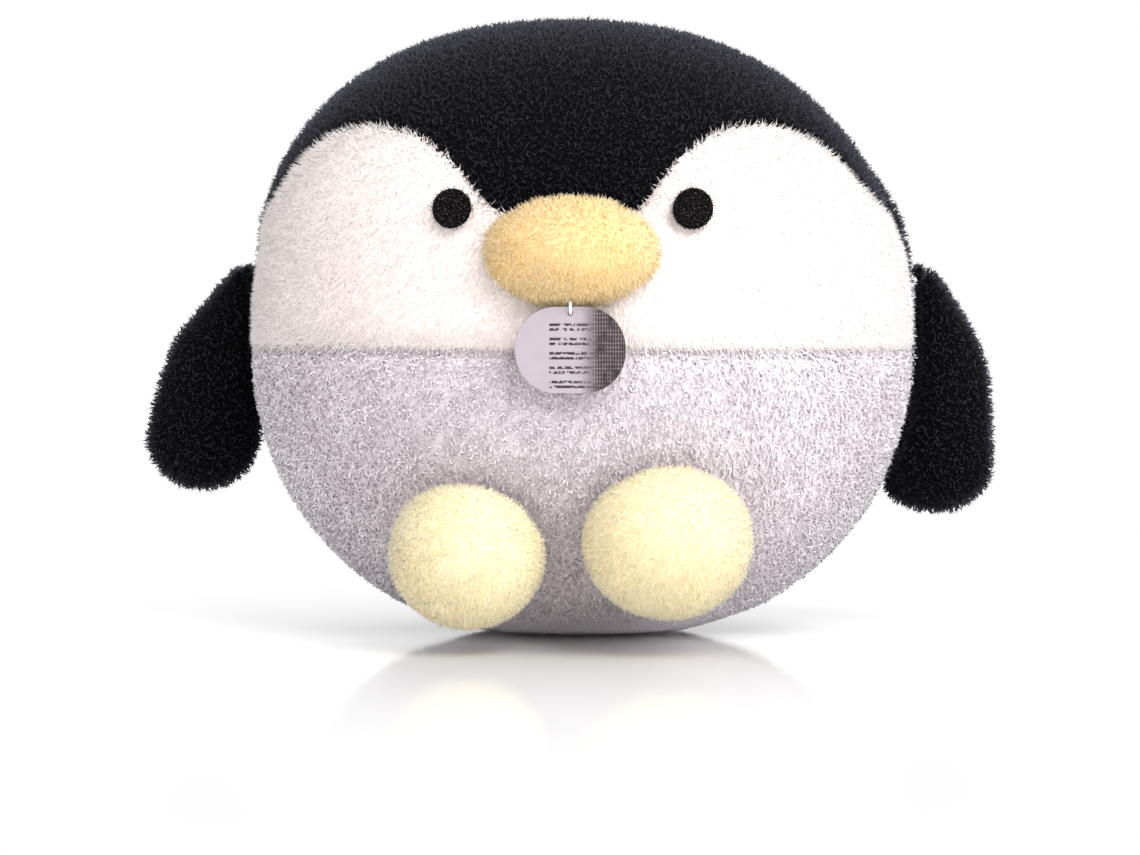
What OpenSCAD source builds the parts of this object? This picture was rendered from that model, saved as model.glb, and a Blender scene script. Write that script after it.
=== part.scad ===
// Round plush penguin chick: a stuffed body of pile panels that sits on a flat
// base, with a padded beak, two ball feet, two flippers and a card swing tag.
// Z is up, the floor is z = 0 and the middle of the flat base is the origin.
// The penguin faces -Y, so its own left side is +X.

/* [Body] */
// Width of the body, side to side
body_w = 273; // [200:1:340]
// Depth of the body, front to back
body_d = 225; // [170:1:290]
// Height of the body above the floor
body_h = 250; // [200:1:320]
// Height of the widest level above the floor
waist_z = 119; // [95:1:145]
// How far the round underside would reach below the floor if it did not sit flat
sit_depth = 7; // [4:0.5:14]
// Fullness of the outline: 2 is an ellipse, more is squarer
fullness = 2.15; // [2:0.05:2.5]
// Fullness of the dome above the widest level
dome = 2.3; // [2:0.05:2.6]

/* [Skin] */
// Thickness of the body fabric with its pile
skin_t = 5; // [3:0.5:8]
// Thickness of the flat base panel
base_t = 5; // [3:0.5:8]
// Thickness of the fabric on the beak, feet and flippers
trim_t = 3; // [2:0.5:4]
// Open seam between two panels
seam_gap = 0.3; // [0.2:0.05:0.6]
// How far the side seam lies in front of the middle of the body
side_seam_y = 6; // [0:1:20]

/* [Face] */
// Height of the straight seam between the face and the belly
belly_seam_z = 117; // [90:1:140]
// Height at which the face panel's edge meets the side seam
face_side_z = 151; // [130:1:175]
// Distance of each round lobe of the face from the middle
lobe_x = 76; // [60:1:90]
// Height of the middle of each lobe
lobe_z = 160.5; // [140:0.5:175]
// Radius of each lobe
lobe_r = 44; // [32:1:55]
// Width of the point of the crown panel between the lobes
peak_w = 55; // [35:1:70]
// Height of the tip of that point
peak_z = 170; // [158:1:185]

/* [Beak] */
// Width of the beak
beak_w = 68; // [45:1:80]
// Height of the beak
beak_h = 42; // [28:1:52]
// Depth of the beak, with the part that lies within the body's outline
beak_d = 50; // [40:1:62]
// How far the beak stands out of the face
beak_out = 22; // [15:1:30]
// Height of the middle of the beak
beak_z = 154.6; // [148:0.2:172]

/* [Eyes] */
// Diameter of each eye
eye_dia = 17; // [10:0.5:24]
// Thickness of each eye
eye_t = 2; // [1:0.5:3]
// Distance of each eye from the middle
eye_x = 46; // [38:1:60]
// Height of the eyes
eye_z = 171; // [160:1:182]

/* [Feet] */
// Width of the left foot
left_foot_w = 66; // [50:1:76]
// Height of the left foot
left_foot_h = 60; // [46:1:70]
// Height of the middle of the left foot
left_foot_z = 44; // [38:1:60]
// Distance of the left foot from the middle
left_foot_x = 36.5; // [36:0.5:50]
// Width of the right foot
right_foot_w = 61; // [50:1:76]
// Height of the right foot
right_foot_h = 57; // [46:1:70]
// Height of the middle of the right foot
right_foot_z = 38; // [36:1:60]
// Distance of the right foot from the middle
right_foot_x = 40.5; // [36:0.5:50]
// Depth of each foot
foot_d = 56; // [44:1:66]
// Distance from the body to the middle of a foot
foot_out = 18; // [12:1:24]
// Radius of the gathered stem that a foot is sewn to
stem_r = 12; // [8:0.5:15]
// Room behind each foot for it to tilt
tilt_room = 5.5; // [5:0.5:8]

/* [Flippers] */
// Height of the seam that a flipper hangs from
flipper_z = 147; // [120:1:170]
// How far behind the middle of the body the flippers hang
flipper_y = 8; // [0:1:20]
// Distance from that seam to the middle of the left flipper's round tip
left_flipper_l = 76; // [60:1:90]
// Distance from that seam to the middle of the right flipper's round tip
right_flipper_l = 70; // [60:1:90]
// Radius of the round tip
tip_r = 23.5; // [17:0.5:30]
// Radius of the middle of the flipper
middle_r = 22.5; // [15:0.5:26]
// How far below the seam the middle of the flipper is
middle_down = 42; // [30:1:50]
// How far the middle of the flipper is set out from the line to its tip
middle_out = 2; // [0:0.5:6]
// Radius of the narrow end at the seam
root_r = 5; // [4:0.5:9]
// Thickness of a flipper
flipper_t = 26; // [18:1:34]
// Angle of the left flipper out from straight down
left_splay = 6; // [3:1:30]
// Angle of the right flipper out from straight down
right_splay = 17; // [3:1:30]
// Radius of the rolled seam that a flipper turns on
roll_r = 2; // [1.5:0.5:4]
// Length of the rolled seam
roll_l = 20; // [12:1:26]
// Clearance between a flipper and the body
flipper_gap = 0.9; // [0.5:0.1:2]

/* [Swing tag] */
// Width of the card
tag_w = 41.6; // [25:0.2:50]
// Height of the card
tag_h = 32.6; // [24:0.2:44]
// Radius of the card's round corners
tag_corner_r = 15.5; // [2:0.5:17]
// Thickness of the card
tag_t = 0.6; // [0.4:0.1:1.2]
// How far in front of the belly the card hangs
tag_out = 7.5; // [4.5:0.5:10]
// Radius of the loop, to the middle of its strand
loop_r = 2.2; // [2.2:0.1:4]
// Thickness of the loop's strand
strand_t = 1; // [0.6:0.1:1.4]
// Clearance of the loop in the card's hole and to the beak
loop_gap = 0.5; // [0.3:0.1:0.8]

/* [Hidden] */
LEFT = 1;
RIGHT = -1;
BLACK = "#1e1e24";
WHITE = "#f2ecea";
GREY = "#c6bfc5";
YELLOW = "#f7df9c";
FILL = "#fafafa";
around = 48;          // faces around the body
levels = 20;          // rings of faces up the body
ball_faces = 28;      // faces around the beak, a foot or a stem
flipper_faces = 24;   // faces around each round of a flipper
far = 2 * max(body_w, body_d, body_h);

// A level's outline follows |x/a|^n + |y/b|^n = s^n, where s^m + |z/c|^m = 1
function rounded(v, n = fullness) = sign(v) * pow(abs(v), 2 / n);
function rise(z) = z > waist_z ? dome : fullness;
function share(z) = pow(1 - pow(min(1, abs(level(z))), rise(z)), 1 / rise(z));
function remaining(u, z) =
    pow(max(0, pow(share(z), fullness) - pow(abs(u), fullness)), 1 / fullness);
function level(z) =
    (z - waist_z) / (z > waist_z ? body_h - waist_z : waist_z + sit_depth);
function front_y(x, z) = -body_d / 2 * remaining(2 * x / body_w, z);
function side_x(y, z) = body_w / 2 * remaining(2 * y / body_d, z);
function ring_at(a, b, lat) = [for (j = [0:around - 1])
    let (lon = 360 * j / around, s = rounded(cos(lat), lat > 0 ? dome : fullness))
        [a * s * rounded(cos(lon)), b * s * rounded(sin(lon))]];
function floor_lat(down, floor_z) = asin(pow((waist_z - floor_z) / down, fullness / 2));

beak_y = front_y(0, beak_z) - beak_out + beak_d / 2;
tag_y = -body_d / 2 - tag_out;
loop_top_z = beak_z - loop_gap
    - beak_h / 2 * sqrt(1 - pow(2 * (tag_y - beak_y) / beak_d, 2));
loop_z = loop_top_z - loop_r - strand_t / 2;
hole_z = loop_z - loop_r;
hole_r = strand_t / 2 + loop_gap;
tag_z = hole_z + hole_r + strand_t + loop_gap - tag_h / 2;

// The whole body with its skin taken in by inset, cut flat at floor_z
module body_form(inset = 0, floor_z = 0) {
    up = body_h - waist_z - inset;
    down = waist_z + sit_depth - inset;
    low = floor_lat(down, floor_z);
    points = [for (i = [0:levels - 1])
        let (lat = -low + (90 + low) * i / levels)
            for (p = ring_at(body_w / 2 - inset, body_d / 2 - inset, lat))
                [p.x, p.y, waist_z + (lat > 0 ? up * rounded(sin(lat), dome)
                    : down * rounded(sin(lat)))]];
    top = len(points);
    sides = [for (i = [0:levels - 2], j = [0:around - 1])
        let (a = i * around + j, b = i * around + (j + 1) % around)
            each [[a, b + around, b], [a, a + around, b + around]]];
    cap = [for (j = [0:around - 1])
        [top - around + j, top, top - around + (j + 1) % around]];
    bottom = [[for (j = [0:around - 1]) j]];
    polyhedron(concat(points, [[0, 0, body_h - inset]]), concat(bottom, sides, cap), 4);
}

// A soft piece is cut out of its forms as one closed mesh, at its real size
module soft_piece() {
    resize([0, 0, 0]) children();
}

module base_outline() {
    polygon(ring_at(body_w / 2, body_d / 2, floor_lat(waist_z + sit_depth, 0)));
}

// The skin all round the body, open over the base panel
module side_skin() {
    difference() {
        body_form();
        body_form(skin_t, base_t + seam_gap);
        translate([0, 0, -far]) linear_extrude(far + base_t + seam_gap)
            offset(delta = seam_gap) base_outline();
    }
}

// Everything in front of the side seam
module front_zone() {
    translate([-far, -2 * far - side_seam_y - seam_gap / 2, -far]) cube(2 * far);
}

// Everything behind the side seam, on one side of the middle
module back_zone(side) {
    translate([side * (far + seam_gap / 2), far - side_seam_y + seam_gap / 2, 0])
        cube(2 * far, center = true);
}

// Front view of the face panel: two round lobes and the notch between them
module face_outline() {
    edge = body_w / 2 + skin_t;
    left = concat([[edge, belly_seam_z], [edge, face_side_z]],
        [for (a = [45:10:145]) [lobe_x + lobe_r * cos(a), lobe_z + lobe_r * sin(a)]],
        [[peak_w / 2, peak_z]]);
    right = [for (i = [len(left) - 1:-1:0]) [-left[i].x, left[i].y]];
    polygon(concat(left, right));
}

// The face outline run right through the body, grown on every side
module face_prism(grow) {
    rotate([90, 0, 0])
        linear_extrude(2 * far, center = true) offset(delta = grow) face_outline();
}

module body_stuffing() {
    color(FILL) body_form(skin_t + seam_gap, base_t + 2 * seam_gap);
}

module crown_panel() {
    color(BLACK) soft_piece() difference() {
        intersection() {
            side_skin();
            front_zone();
            translate([-far, -far, belly_seam_z + seam_gap]) cube(2 * far);
        }
        face_prism(seam_gap / 2);
    }
}

module face_panel() {
    color(WHITE) soft_piece() intersection() {
        side_skin();
        front_zone();
        face_prism(-seam_gap / 2);
    }
}

module belly_panel() {
    color(GREY) soft_piece() intersection() {
        side_skin();
        front_zone();
        translate([-far, -far, belly_seam_z - seam_gap / 2 - 2 * far]) cube(2 * far);
    }
}

module back_panel(side) {
    color(BLACK) soft_piece() intersection() {
        side_skin();
        back_zone(side);
    }
}

module base_panel() {
    color(GREY) linear_extrude(base_t) base_outline();
}

// The beak's outline, taken in by inset and cut away where the face is
module beak_form(inset = 0) {
    difference() {
        translate([0, beak_y, beak_z])
            scale([beak_w / 2 - inset, beak_d / 2 - inset, beak_h / 2 - inset])
                sphere(1, $fn = ball_faces);
        body_form(-seam_gap - inset);
    }
}

// Upper (1) or lower (-1) half of the beak's cover
module beak_panel(half) {
    color(YELLOW) soft_piece() intersection() {
        difference() {
            beak_form();
            beak_form(trim_t);
        }
        translate([0, 0, beak_z + half * (far + seam_gap / 2)]) cube(2 * far, center = true);
    }
}

module beak_stuffing() {
    color(FILL) soft_piece() beak_form(trim_t + seam_gap);
}

// A round patch of dense black stitching that follows the face
module eye(side) {
    color(BLACK) soft_piece() intersection() {
        difference() {
            body_form(-seam_gap - eye_t);
            body_form(-seam_gap);
        }
        translate([side * eye_x, 0, eye_z])
            rotate([90, 0, 0]) cylinder(far, d = eye_dia, $fn = 32);
    }
}

// Width, height and middle of the foot on one side
function foot_w(side) = side == LEFT ? left_foot_w : right_foot_w;
function foot_h(side) = side == LEFT ? left_foot_h : right_foot_h;
function foot_z(side) = side == LEFT ? left_foot_z : right_foot_z;
function foot_x(side) = side == LEFT ? left_foot_x : right_foot_x;
function foot_root(side) =
    [side * foot_x(side), front_y(foot_x(side), foot_z(side)), foot_z(side)];

// A foot's outline, taken in by inset, with room behind it and a socket for its stem
module foot_form(side, inset = 0) {
    root = foot_root(side);
    difference() {
        translate(root - [0, foot_out, 0])
            scale([foot_w(side) / 2 - inset, foot_d / 2 - inset, foot_h(side) / 2 - inset])
                sphere(1, $fn = ball_faces);
        body_form(-tilt_room - inset, 0);
        translate(root) sphere(stem_r + seam_gap + inset, $fn = ball_faces);
    }
}

// Front (-1) or back (1) half of a foot's cover
module foot_cover(side, half) {
    root = foot_root(side);
    color(YELLOW) soft_piece() intersection() {
        difference() {
            foot_form(side);
            foot_form(side, trim_t);
        }
        translate([0, root.y - foot_out + half * (far + seam_gap / 2), 0])
            cube(2 * far, center = true);
    }
}

module foot_stuffing(side) {
    color(FILL) soft_piece() foot_form(side, trim_t + seam_gap);
}

// The gathered stem between the belly and a foot, round so that the foot can tilt on it
module foot_stem(side) {
    color(YELLOW) soft_piece() difference() {
        translate(foot_root(side)) sphere(stem_r, $fn = ball_faces);
        body_form(-seam_gap);
    }
}

// The seam that a flipper turns on, just clear of the body's side
function flipper_hinge(side) =
    [side * (side_x(flipper_y, flipper_z) + seam_gap + roll_r), flipper_y, flipper_z];
function splay(side) = side == LEFT ? left_splay : right_splay;
function flipper_l(side) = side == LEFT ? left_flipper_l : right_flipper_l;

// A flipper's outline, taken in by inset, cut away where the body and the seam are
module flipper_form(side, inset = 0) {
    hinge = flipper_hinge(side);
    difference() {
        translate(hinge) rotate([0, -side * splay(side), 0]) hull() {
            for (part = [[root_r, -root_r, root_r], [middle_out, -middle_down, middle_r],
                         [0, -flipper_l(side), tip_r]])
                translate([side * part.x, 0, part.y])
                    scale([part.z - inset, flipper_t / 2 - inset, part.z - inset])
                        sphere(1, $fn = flipper_faces);
        }
        body_form(-flipper_gap - inset, 0);
        translate(hinge) rotate([90, 0, 0])
            cylinder(far, r = roll_r + seam_gap + inset, center = true, $fn = 32);
    }
}

// Front (-1) or back (1) half of a flipper's cover
module flipper_cover(side, half) {
    color(BLACK) soft_piece() intersection() {
        difference() {
            flipper_form(side);
            flipper_form(side, trim_t);
        }
        translate([0, flipper_y + half * (far + seam_gap / 2), 0])
            cube(2 * far, center = true);
    }
}

module flipper_stuffing(side) {
    color(FILL) soft_piece() flipper_form(side, trim_t + seam_gap);
}

module flipper_seam(side) {
    color(BLACK) translate(flipper_hinge(side))
        rotate([90, 0, 0]) cylinder(roll_l, r = roll_r, center = true, $fn = 32);
}

// A card with broad round corners and a hole for its loop
module tag_card() {
    corner_r = min(tag_corner_r, tag_h / 2 - tag_t, tag_w / 2 - tag_t);
    color(WHITE) translate([0, tag_y + tag_t / 2, 0]) rotate([90, 0, 0])
        linear_extrude(tag_t) difference() {
            translate([0, tag_z]) union() {
                square([tag_w - 2 * corner_r, tag_h], center = true);
                square([tag_w, tag_h - 2 * corner_r], center = true);
                for (x = [-1, 1], z = [-1, 1])
                    translate([x * (tag_w / 2 - corner_r), z * (tag_h / 2 - corner_r)])
                        circle(corner_r, $fn = 48);
            }
            translate([0, hole_z]) circle(hole_r, $fn = 24);
        }
}

module tag_loop() {
    color(FILL) translate([0, tag_y, loop_z]) rotate([0, 90, 0])
        rotate_extrude($fn = 48) translate([loop_r, 0]) circle(d = strand_t, $fn = 16);
}

body_stuffing();
crown_panel();
face_panel();
belly_panel();
back_panel(LEFT);  // left_back_panel
back_panel(RIGHT);  // right_back_panel
base_panel();
beak_panel(1);  // beak_upper_panel
beak_panel(-1);  // beak_lower_panel
beak_stuffing();
eye(LEFT);  // left_eye
eye(RIGHT);  // right_eye
foot_cover(LEFT, -1);  // left_foot_front
foot_cover(LEFT, 1);  // left_foot_back
foot_stuffing(LEFT);  // left_foot_stuffing
foot_stem(LEFT);  // left_foot_stem
foot_cover(RIGHT, -1);  // right_foot_front
foot_cover(RIGHT, 1);  // right_foot_back
foot_stuffing(RIGHT);  // right_foot_stuffing
foot_stem(RIGHT);  // right_foot_stem
flipper_cover(LEFT, -1);  // left_flipper_front
flipper_cover(LEFT, 1);  // left_flipper_back
flipper_stuffing(LEFT);  // left_flipper_stuffing
flipper_seam(LEFT);  // left_flipper_seam
flipper_cover(RIGHT, -1);  // right_flipper_front
flipper_cover(RIGHT, 1);  // right_flipper_back
flipper_stuffing(RIGHT);  // right_flipper_stuffing
flipper_seam(RIGHT);  // right_flipper_seam
tag_card();
tag_loop();
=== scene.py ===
import math

import bmesh
import bpy
import numpy as np
from mathutils import Matrix, Vector, noise


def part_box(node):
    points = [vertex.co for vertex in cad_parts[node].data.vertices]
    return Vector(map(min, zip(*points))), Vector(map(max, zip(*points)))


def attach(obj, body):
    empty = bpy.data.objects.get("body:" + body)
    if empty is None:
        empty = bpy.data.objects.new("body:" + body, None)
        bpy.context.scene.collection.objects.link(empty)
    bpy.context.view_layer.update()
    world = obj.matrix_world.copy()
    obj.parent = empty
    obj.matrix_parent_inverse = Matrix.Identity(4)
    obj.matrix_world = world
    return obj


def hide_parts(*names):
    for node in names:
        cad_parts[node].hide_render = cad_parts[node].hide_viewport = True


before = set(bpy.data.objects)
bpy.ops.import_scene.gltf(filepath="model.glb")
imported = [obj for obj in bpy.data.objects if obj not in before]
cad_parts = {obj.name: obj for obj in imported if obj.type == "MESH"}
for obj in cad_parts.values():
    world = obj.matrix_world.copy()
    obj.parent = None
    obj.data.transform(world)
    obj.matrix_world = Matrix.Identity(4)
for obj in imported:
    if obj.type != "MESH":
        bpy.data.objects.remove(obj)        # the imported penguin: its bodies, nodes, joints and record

# Plush penguin chick. Every panel is a skin with a pile of real strands on it, cut and
# sewn as the toy is. Metres, Z up, the face looks along -Y and its own left side is +X.

MM = 0.001
LEFT, RIGHT = 1, -1
SIDES = {"left": LEFT, "right": RIGHT}
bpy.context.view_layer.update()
scene = bpy.context.scene
pieces = {}


# ---------------------------------------------------------------- sizes

def joined_box(*nodes):
    """Lowest and highest corner of several CAD nodes together."""
    boxes = [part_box(n) for n in nodes]
    low = Vector(min(b[0][i] for b in boxes) for i in range(3))
    high = Vector(max(b[1][i] for b in boxes) for i in range(3))
    return low, high


body_low, body_high = joined_box("crown_panel", "face_panel", "belly_panel",
                                 "left_back_panel", "right_back_panel", "base_panel")
BODY_SIZE = body_high - body_low
WAIST_Z = 119 * MM            # height of the widest level
SIT_DEPTH = 7 * MM            # how far the round underside is pressed flat
FULLNESS = 2.15               # 2 is an ellipse, more is squarer
DOME = 2.3                    # the same above the widest level
PILE_T = 2.2 * MM             # how far the pile stands off the skin
SIDEWAYS = -5.6 * MM          # how far the top is stuffed over to the right side
LEAN_FROM_Z, LEAN_OVER = 155 * MM, 35 * MM    # where that starts, and over what height
FULL_LEFT, FULL_RIGHT = 4.2 * MM, -2.2 * MM   # how much fuller the back is by the side seams
FULL_Z, FULL_HEIGHT, FULL_DEPTH = 169 * MM, 15 * MM, 35 * MM
STRETCH = 1.2 * MM            # how far the stuffing stretches the cloth between the seams
CLOTH_T = 1.2 * MM            # knitted backing of the pile
SIDE_TUCK, TUCK, TUCK_WIDTH = 0.4 * MM, 1.2 * MM, 3.5 * MM    # how the seams pull the cloth in
SOFTNESS = 0.8                # how far a strand is shaded like the skin under it
BASE_Z = 1.6 * MM             # backing of the flat base, on its own squashed pile

SIDE_SEAM_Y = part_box("face_panel")[1].y
BELLY_SEAM_Z = (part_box("face_panel")[0].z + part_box("belly_panel")[1].z) / 2
LOBE_X, LOBE_Z, LOBE_R = 76 * MM, 160.5 * MM, 44 * MM
PEAK_X, PEAK_Z = 27.5 * MM, 170 * MM
FACE_EDGE_X, FACE_SIDE_Z = BODY_SIZE.x / 2 + 5 * MM, 151 * MM


# ---------------------------------------------------------------- helpers

def linear(hex_colour):
    """sRGB hex to a linear RGBA tuple."""
    parts = [int(hex_colour[i:i + 2], 16) / 255 for i in (1, 3, 5)]
    return tuple(c / 12.92 if c <= 0.04045 else ((c + 0.055) / 1.055) ** 2.4
                 for c in parts) + (1.0,)


def add(tree, kind, inputs=None, **settings):
    """Adds one node, with its settings, values and links."""
    made = tree.nodes.new(kind)
    for name, value in settings.items():
        setattr(made, name, value)
    for key, value in (inputs or {}).items():
        if isinstance(value, bpy.types.NodeSocket):
            tree.links.new(value, made.inputs[key])
        else:
            made.inputs[key].default_value = value
    return made


def new_piece(name, bm, material, body, *nodes):
    """Turns a bmesh into a finished piece that rides on its body and stands for its CAD nodes."""
    mesh = bpy.data.meshes.new(name)
    bm.to_mesh(mesh)
    bm.free()
    piece = bpy.data.objects.new(name, mesh)
    scene.collection.objects.link(piece)
    mesh.materials.append(material)
    mesh.shade_smooth()
    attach(piece, body)
    if nodes:
        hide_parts(*nodes)
    pieces[name] = piece
    return piece


def settle(piece):
    """Applies every modifier on a piece."""
    graph = bpy.context.evaluated_depsgraph_get()
    made = bpy.data.meshes.new_from_object(piece.evaluated_get(graph), depsgraph=graph)
    old, name = piece.data, piece.data.name
    finish = old.materials[0]
    piece.modifiers.clear()
    piece.data = made
    bpy.data.meshes.remove(old)
    made.name = name
    made.materials.clear()
    made.materials.append(finish)
    made.polygons.foreach_set("material_index", np.zeros(len(made.polygons), np.int32))


def places(mesh):
    """Vertex places as an array of rows."""
    flat = np.empty(len(mesh.vertices) * 3, np.float32)
    mesh.vertices.foreach_get("co", flat)
    return flat.reshape(-1, 3).astype(float)


def put(mesh, points):
    """Moves the vertices to new places."""
    mesh.vertices.foreach_set("co", points.astype(np.float32).ravel())
    mesh.update()


# ---------------------------------------------------------------- materials

def pile_material(name, painted_root_shade, middle, tip, dark, roughness=0.85, sheen=0.35,
                  sheen_tint="#ffffff", patch_mm=30, tuft_mm=3, tint_range=0.5, gloss=0.25):
    """Pile fabric: the root is painted darker as the shade between the strands, the tip is
    painted lighter as a highlight where it catches the light, and tufts and patches vary as
    the strands lie. Every strand carries a tip and a tint value."""
    material = bpy.data.materials.new(name)
    material.use_nodes = True
    tree = material.node_tree
    shader = tree.nodes["Principled BSDF"]
    place = add(tree, "ShaderNodeTexCoord").outputs["Object"]
    height = add(tree, "ShaderNodeAttribute", attribute_name="tip").outputs["Fac"]
    tint = add(tree, "ShaderNodeAttribute", attribute_name="tint").outputs["Fac"]
    # Painted shade and highlight: the colour runs from the darker root, painted as the shade between
    # the strands, to the lighter tip, painted as a highlight.
    lower = add(tree, "ShaderNodeMix", {0: height, 6: linear(painted_root_shade), 7: linear(middle)},
                data_type="RGBA")
    whole = add(tree, "ShaderNodeMix",
                {0: add(tree, "ShaderNodeMath", {0: height, 1: 2.2}, operation="POWER").outputs[0],
                 6: lower.outputs[2], 7: linear(tip)}, data_type="RGBA")
    patch = add(tree, "ShaderNodeTexNoise",
                {"Vector": place, "Scale": 1000 / patch_mm, "Detail": 3.0, "Roughness": 0.6})
    tuft = add(tree, "ShaderNodeTexNoise",
               {"Vector": place, "Scale": 1000 / tuft_mm, "Detail": 2.0, "Roughness": 0.7})
    shade = add(tree, "ShaderNodeMath", {0: patch.outputs["Fac"], 1: tuft.outputs["Fac"]},
                operation="MULTIPLY")
    varied = add(tree, "ShaderNodeMath", {0: tint, 1: tint_range, 2: shade.outputs[0]},
                 operation="MULTIPLY_ADD")
    spread = add(tree, "ShaderNodeMapRange", {"Value": varied.outputs[0], 1: 0.15,
                                              2: 0.35 + tint_range, 3: 0.0, 4: 1.0})
    colour = add(tree, "ShaderNodeMix", {0: spread.outputs[0], 6: linear(dark),
                                         7: (1.0, 1.0, 1.0, 1.0)}, data_type="RGBA")
    final = add(tree, "ShaderNodeMix", {0: 1.0, 6: whole.outputs[2], 7: colour.outputs[2]},
                data_type="RGBA", blend_type="MULTIPLY")
    tree.links.new(final.outputs[2], shader.inputs["Base Color"])
    fibre = add(tree, "ShaderNodeTexNoise", {"Vector": place, "Scale": 1000 / 0.8, "Detail": 2.0})
    bump = add(tree, "ShaderNodeBump", {"Height": fibre.outputs["Fac"], "Strength": 0.5,
                                        "Distance": 0.3 * MM})
    tree.links.new(bump.outputs["Normal"], shader.inputs["Normal"])
    rough = add(tree, "ShaderNodeMapRange", {"Value": tuft.outputs["Fac"],
                                             3: roughness - 0.08, 4: roughness + 0.08})
    tree.links.new(rough.outputs[0], shader.inputs["Roughness"])
    shader.inputs["Sheen Weight"].default_value = sheen
    shader.inputs["Sheen Roughness"].default_value = 0.45
    shader.inputs["Sheen Tint"].default_value = linear(sheen_tint)
    shader.inputs["Specular IOR Level"].default_value = gloss
    return material


# Curly polyester pile dyed black: black at the roots, and a blue-grey bloom painted on the tips as a
# highlight for the sheen of the fibres.
black_pile = pile_material("black_curly_polyester_pile", "#020203", "#060608", "#484752",
                           "#38383e", sheen=0.3, sheen_tint="#b4b4c6", patch_mm=30,
                           tint_range=0.9, gloss=0.06)
# Brushed white polyester pile: smooth, warm white, with hardly any shade painted at the roots between
# its strands and the tips painted a touch lighter as a highlight.
white_pile = pile_material("white_brushed_polyester_pile", "#fff7f4", "#fff9f7", "#fffdfc",
                           "#fcf4f2", sheen=0.2, patch_mm=50, tint_range=0.3)
# Tufted grey marl pile: pale and darker tufts side by side, a little pink in the grey; the roots are
# painted darker as the shade between the strands and the tips lighter as a highlight.
grey_pile = pile_material("grey_marl_polyester_pile", "#ece5e9", "#f0eaee", "#fbf7fa",
                          "#c2babf", sheen=0.25, patch_mm=25, tuft_mm=2.2, tint_range=0.7)
# Fine yellow velboa: soft, with deeper yellow painted at the roots as the shade between the strands and
# paler tips painted as a highlight.
yellow_pile = pile_material("yellow_velboa_pile", "#fde1ae", "#fde6b8", "#ffefce",
                            "#fff0d0", sheen=0.1, sheen_tint="#fff3c8", patch_mm=20,
                            tint_range=0.35)
# The feet have a paler copy of the same cloth, painted lighter for the stronger light that falls on the
# feet.
lit_yellow_pile = pile_material("pale_yellow_velboa_pile", "#fff4d0", "#fff8de", "#fffdf0",
                          "#fff4dc", sheen=0.1, sheen_tint="#fff3c8", patch_mm=20,
                          tint_range=0.35)
# Short black pile set into the face for the eyes: matt, painted near-black at the roots as the shade
# between its strands and grey at the tips as a highlight.
eye_pile = pile_material("black_short_polyester_pile", "#050404", "#141112", "#9a8f93",
                         "#383236", sheen=0.1, patch_mm=6, tuft_mm=1.2, tint_range=1.0,
                         gloss=0.06)


def loose_fibre():
    """Polyester fibre fill: matt, bright white, a little blue."""
    material = bpy.data.materials.new("white_polyester_fibre_fill")
    material.use_nodes = True
    tree = material.node_tree
    shader = tree.nodes["Principled BSDF"]
    place = add(tree, "ShaderNodeTexCoord").outputs["Object"]
    wisps = add(tree, "ShaderNodeTexNoise", {"Vector": place, "Scale": 1000 / 6, "Detail": 6.0,
                                             "Distortion": 1.5})
    colour = add(tree, "ShaderNodeMix", {0: wisps.outputs["Fac"], 6: linear("#dfe2e6"),
                                         7: linear("#ffffff")}, data_type="RGBA")
    tree.links.new(colour.outputs[2], shader.inputs["Base Color"])
    bump = add(tree, "ShaderNodeBump", {"Height": wisps.outputs["Fac"], "Strength": 0.8,
                                        "Distance": 1.5 * MM})
    tree.links.new(bump.outputs["Normal"], shader.inputs["Normal"])
    shader.inputs["Roughness"].default_value = 0.95
    return material


fibre_fill = loose_fibre()


# ---------------------------------------------------------------- pile

def strand(name, width, length, bend, steps=2):
    """One tapered strand of three sides that curls over by bend, with a tip value up it."""
    bm = bmesh.new()
    tip = bm.verts.layers.float.new("tip")
    uv = bm.loops.layers.uv.new("OFBake")
    ring = bmesh.ops.create_circle(bm, segments=3, radius=width / 2,
                                   matrix=Matrix.Rotation(math.radians(10), 4, "Z"))["verts"]
    along = {v: 0.0 for v in ring}
    edges = list(bm.edges)
    turn = Matrix.Rotation(bend / steps, 3, "Y")
    rise = Vector((0, 0, length / steps))
    centre = Vector((0, 0, 0))
    for step in range(1, steps + 1):
        made = bmesh.ops.extrude_edge_only(bm, edges=edges)["geom"]
        ring = [g for g in made if isinstance(g, bmesh.types.BMVert)]
        edges = [g for g in made if isinstance(g, bmesh.types.BMEdge)]
        new_centre = centre + rise
        share = step / steps
        for v in ring:
            v.co = new_centre + (turn @ (v.co - centre)) * (0.8 if step < steps else 0.0)
            v[tip] = share
        rise = turn @ rise
        centre = new_centre
    bmesh.ops.remove_doubles(bm, verts=ring, dist=width / 100)
    bmesh.ops.holes_fill(bm, edges=bm.edges[:], sides=3)
    bmesh.ops.recalc_face_normals(bm, faces=bm.faces)
    for face in bm.faces:
        for loop in face.loops:
            loop[uv].uv = (0.5 + 0.8 * loop.vert.co.y / width, 0.05 + 0.9 * loop.vert[tip])
    mesh = bpy.data.meshes.new(name)
    bm.to_mesh(mesh)
    bm.free()
    mesh.shade_smooth()
    made = bpy.data.objects.new(name, mesh)
    scene.collection.objects.link(made)
    made.hide_render = True
    return made


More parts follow.
